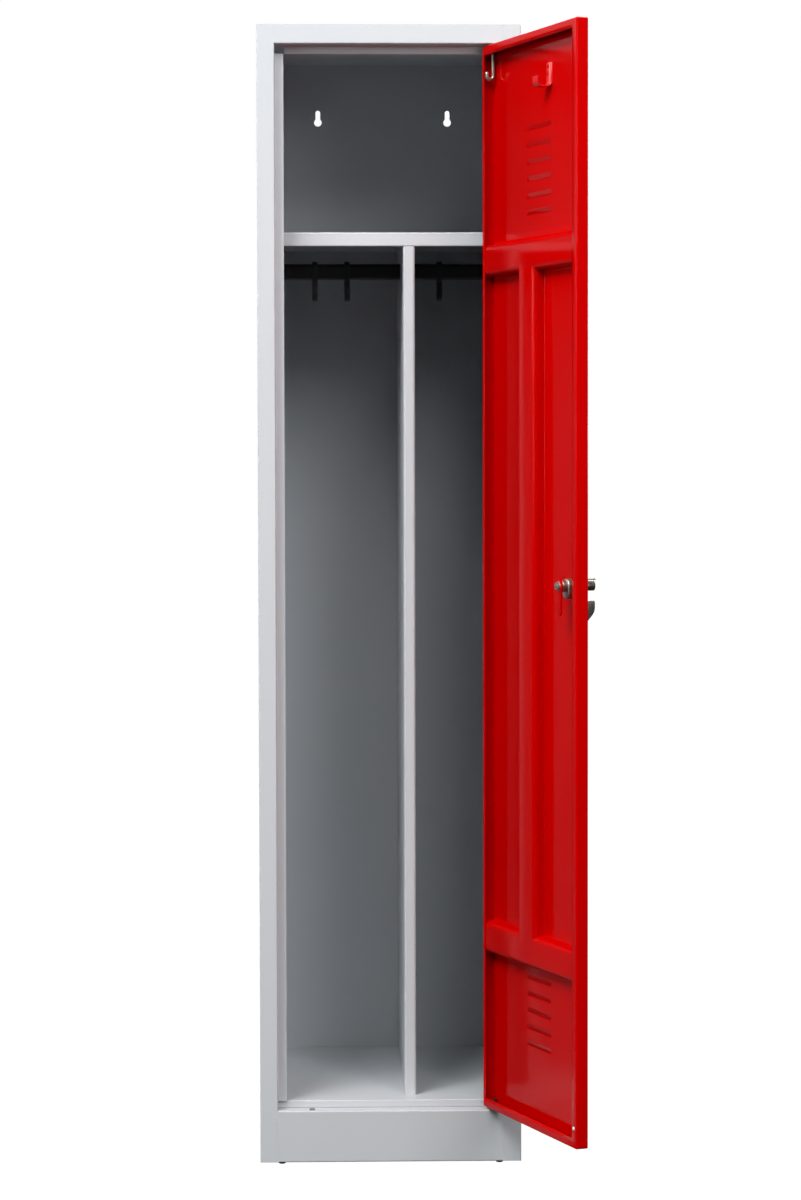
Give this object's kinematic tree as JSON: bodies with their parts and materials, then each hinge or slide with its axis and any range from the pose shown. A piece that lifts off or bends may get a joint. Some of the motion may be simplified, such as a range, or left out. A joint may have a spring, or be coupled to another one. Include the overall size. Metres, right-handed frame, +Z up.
{
  "type": "clothing locker",
  "caption": "Steel clothing locker with an inset door, a turn latch for a padlock, a hat shelf, an upright partition and an oval clothes rail with sliding hooks.",
  "frame": {"origin": "on the floor under the middle of the body's footprint, without the door", "axes": "+Z up along the height, +Y to the back and into the wall, +X to the right as seen from the front"},
  "size_m": [0.5101, 0.8189, 1.8],
  "materials": {
    "grey_paint": "light grey powder coat, satin gloss",
    "red_paint": "red powder coat, gloss",
    "black_paint": "black paint, satin",
    "black_plastic": "black moulded plastic, satin",
    "white_plastic": "white nylon",
    "rubber": "dark grey rubber",
    "zinc_plate": "bright zinc plate",
    "cast_chrome": "cast and chromed, satin"
  },
  "bodies": {
    "carcass": {"left_side_panel": "grey_paint", "right_side_panel": "grey_paint", "back_panel": "grey_paint", "top_panel": "grey_paint", "floor_panel": "grey_paint", "plinth_front": "grey_paint", "back_sill": "grey_paint", "hat_shelf": "grey_paint", "partition": "grey_paint", "clothes_rail": "black_paint", "rail_socket_left": "black_plastic", "rail_socket_right": "black_plastic", "upper_hinge_bush": "black_plastic", "lower_hinge_pin": "zinc_plate", "sill_pad": "rubber", "foot_front_left": "black_plastic", "foot_front_right": "black_plastic", "foot_back_left": "black_plastic", "foot_back_right": "black_plastic"},
    "door": {"door_skin": "red_paint", "upper_cross_stiffener": "red_paint", "lower_cross_stiffener": "red_paint", "upright_stiffener": "red_paint", "coat_hook": "red_paint", "coat_hook_rivets": "red_paint", "door_upper_bush": "black_plastic", "door_lower_bush": "black_plastic", "door_buffer": "white_plastic", "latch_base": "zinc_plate", "latch_rivets": "zinc_plate", "latch_housing": "zinc_plate"},
    "hinge_pin": {"upper_hinge_pin": "zinc_plate"},
    "latch": {"latch_lever": "cast_chrome", "latch_cam": "red_paint", "latch_washer": "zinc_plate", "latch_nut": "zinc_plate"},
    "hook_1": {"sliding_hook_1": "black_plastic"},
    "hook_2": {"sliding_hook_2": "black_plastic"},
    "hook_3": {"sliding_hook_3": "black_plastic"}
  },
  "joints": [
    {"name": "door_hinge", "type": "hinge", "parent": "carcass", "child": "door", "pos_m": [0.1645, -0.2435, 0.928], "axis": [0, 0, 1], "range_deg": [-110, 20]},
    {"name": "latch_turn", "type": "hinge", "parent": "door", "child": "latch", "pos_m": [0.27048, -0.51567, 0.928], "axis": [-0.9397, -0.342, 0], "range_deg": [0, 90]},
    {"name": "hinge_pin_slide", "type": "slide", "parent": "door", "child": "hinge_pin", "axis": [0, 0, -1], "range_m": [0, 0.018]},
    {"name": "hook_1_slide", "type": "slide", "parent": "carcass", "child": "hook_1", "axis": [1, 0, 0], "range_m": [-0.075, 0.021]},
    {"name": "hook_2_slide", "type": "slide", "parent": "carcass", "child": "hook_2", "axis": [1, 0, 0], "range_m": [-0.0215, 0.081]},
    {"name": "hook_3_slide", "type": "slide", "parent": "carcass", "child": "hook_3", "axis": [1, 0, 0], "range_m": [-0.039, 0.104]}
  ]
}
